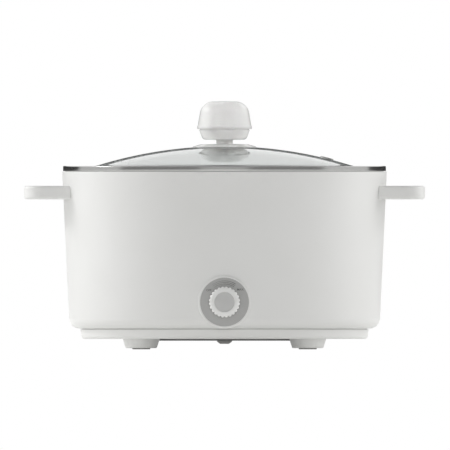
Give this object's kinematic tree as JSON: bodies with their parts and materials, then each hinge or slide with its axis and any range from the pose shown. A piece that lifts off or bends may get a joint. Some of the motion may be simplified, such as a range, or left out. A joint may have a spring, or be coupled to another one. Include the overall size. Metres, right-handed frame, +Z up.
{
  "type": "electric hot pot",
  "caption": "Round white electric hot pot with loop side handles, a front rotary switch, a rear mains inlet, a heated non-stick pot and a domed glass lid that lifts off by its knob.",
  "frame": {"origin": "middle of the body, on the plane that the four foot pads stand on", "axes": "+Z up, the dial on the -Y side (front), the mains inlet on the +Y side, handles along X"},
  "size_m": [0.3826, 0.326, 0.2367],
  "materials": {
    "body_white": "gloss white moulded polypropylene",
    "cover_grey": "grained grey polypropylene",
    "pad_rubber": "matt black rubber",
    "screw_steel": "zinc plated",
    "pot_coat": "dark speckled non-stick coat on aluminium",
    "seal_silicone": "translucent white silicone",
    "cast_aluminium": "as cast",
    "heater_steel": "dull heat-tinted sheath",
    "ceramic_bead": "fired steatite",
    "sheet_aluminium": "rolled sheet",
    "nut_plastic": "moulded over a steel nut",
    "dial_grey": "satin silver-grey print",
    "face_grey": "satin silver grey",
    "switch_black": "moulded glass-filled nylon",
    "contact_brass": "bright stamped strip",
    "lead_black": "silicone insulation",
    "lead_blue": "silicone insulation",
    "lead_brown": "silicone insulation",
    "lead_earth": "silicone insulation, yellow on green",
    "lid_glass": "clear tempered",
    "band_steel": "rolled and polished stainless"
  },
  "bodies": {
    "base": {"outer_shell": "body_white", "inner_pot": "pot_coat", "rim_seal": "seal_silicone", "base_tray": "body_white", "bottom_cover": "cover_grey", "foot_front_left": "body_white", "foot_front_right": "body_white", "foot_rear_left": "body_white", "foot_rear_right": "body_white", "pad_front_left": "pad_rubber", "pad_front_right": "pad_rubber", "pad_rear_left": "pad_rubber", "pad_rear_right": "pad_rubber", "base_screws": "screw_steel", "foot_screws": "screw_steel", "left_handle": "body_white", "right_handle": "body_white", "handle_screws": "screw_steel", "heater_plate": "cast_aluminium", "heater_tube": "heater_steel", "heater_terminals": "ceramic_bead", "centre_stud": "screw_steel", "centre_nut": "nut_plastic", "heat_shield": "sheet_aluminium", "shield_posts": "screw_steel", "shield_screws": "screw_steel", "limit_thermostat": "cast_aluminium", "thermostat_clip": "screw_steel", "thermal_fuse": "sheet_aluminium", "fuse_clip": "screw_steel", "dial_plate": "dial_grey", "switch_housing": "switch_black", "switch_cover": "switch_black", "switch_contacts": "contact_brass", "switch_nut": "screw_steel", "inlet_hood": "body_white", "inlet_socket": "switch_black", "inlet_pins": "contact_brass", "inlet_screws": "screw_steel", "live_lead": "lead_brown", "switch_lead": "lead_black", "thermostat_lead": "lead_black", "fuse_lead": "lead_black", "neutral_lead": "lead_blue", "earth_lead": "lead_earth"},
    "lid": {"lid_glass": "lid_glass", "lid_rim_band": "band_steel", "vent_eyelet": "band_steel", "knob_flange": "body_white", "knob_gasket": "seal_silicone", "knob_base": "body_white", "knob_cap": "body_white", "knob_insert": "contact_brass", "under_gasket": "seal_silicone", "knob_washer": "screw_steel", "knob_screw": "screw_steel"},
    "dial": {"dial_knob": "body_white", "dial_face": "face_grey", "switch_shaft": "contact_brass", "switch_cam": "switch_black"}
  },
  "joints": [
    {"name": "lid_lift", "type": "slide", "parent": "base", "child": "lid", "axis": [0, 0, 1], "range_m": [0, 0.16]},
    {"name": "dial_turn", "type": "hinge", "parent": "base", "child": "dial", "pos_m": [0, -0.155, 0.0451], "axis": [0, 1, 0], "range_deg": [0, 107]}
  ]
}
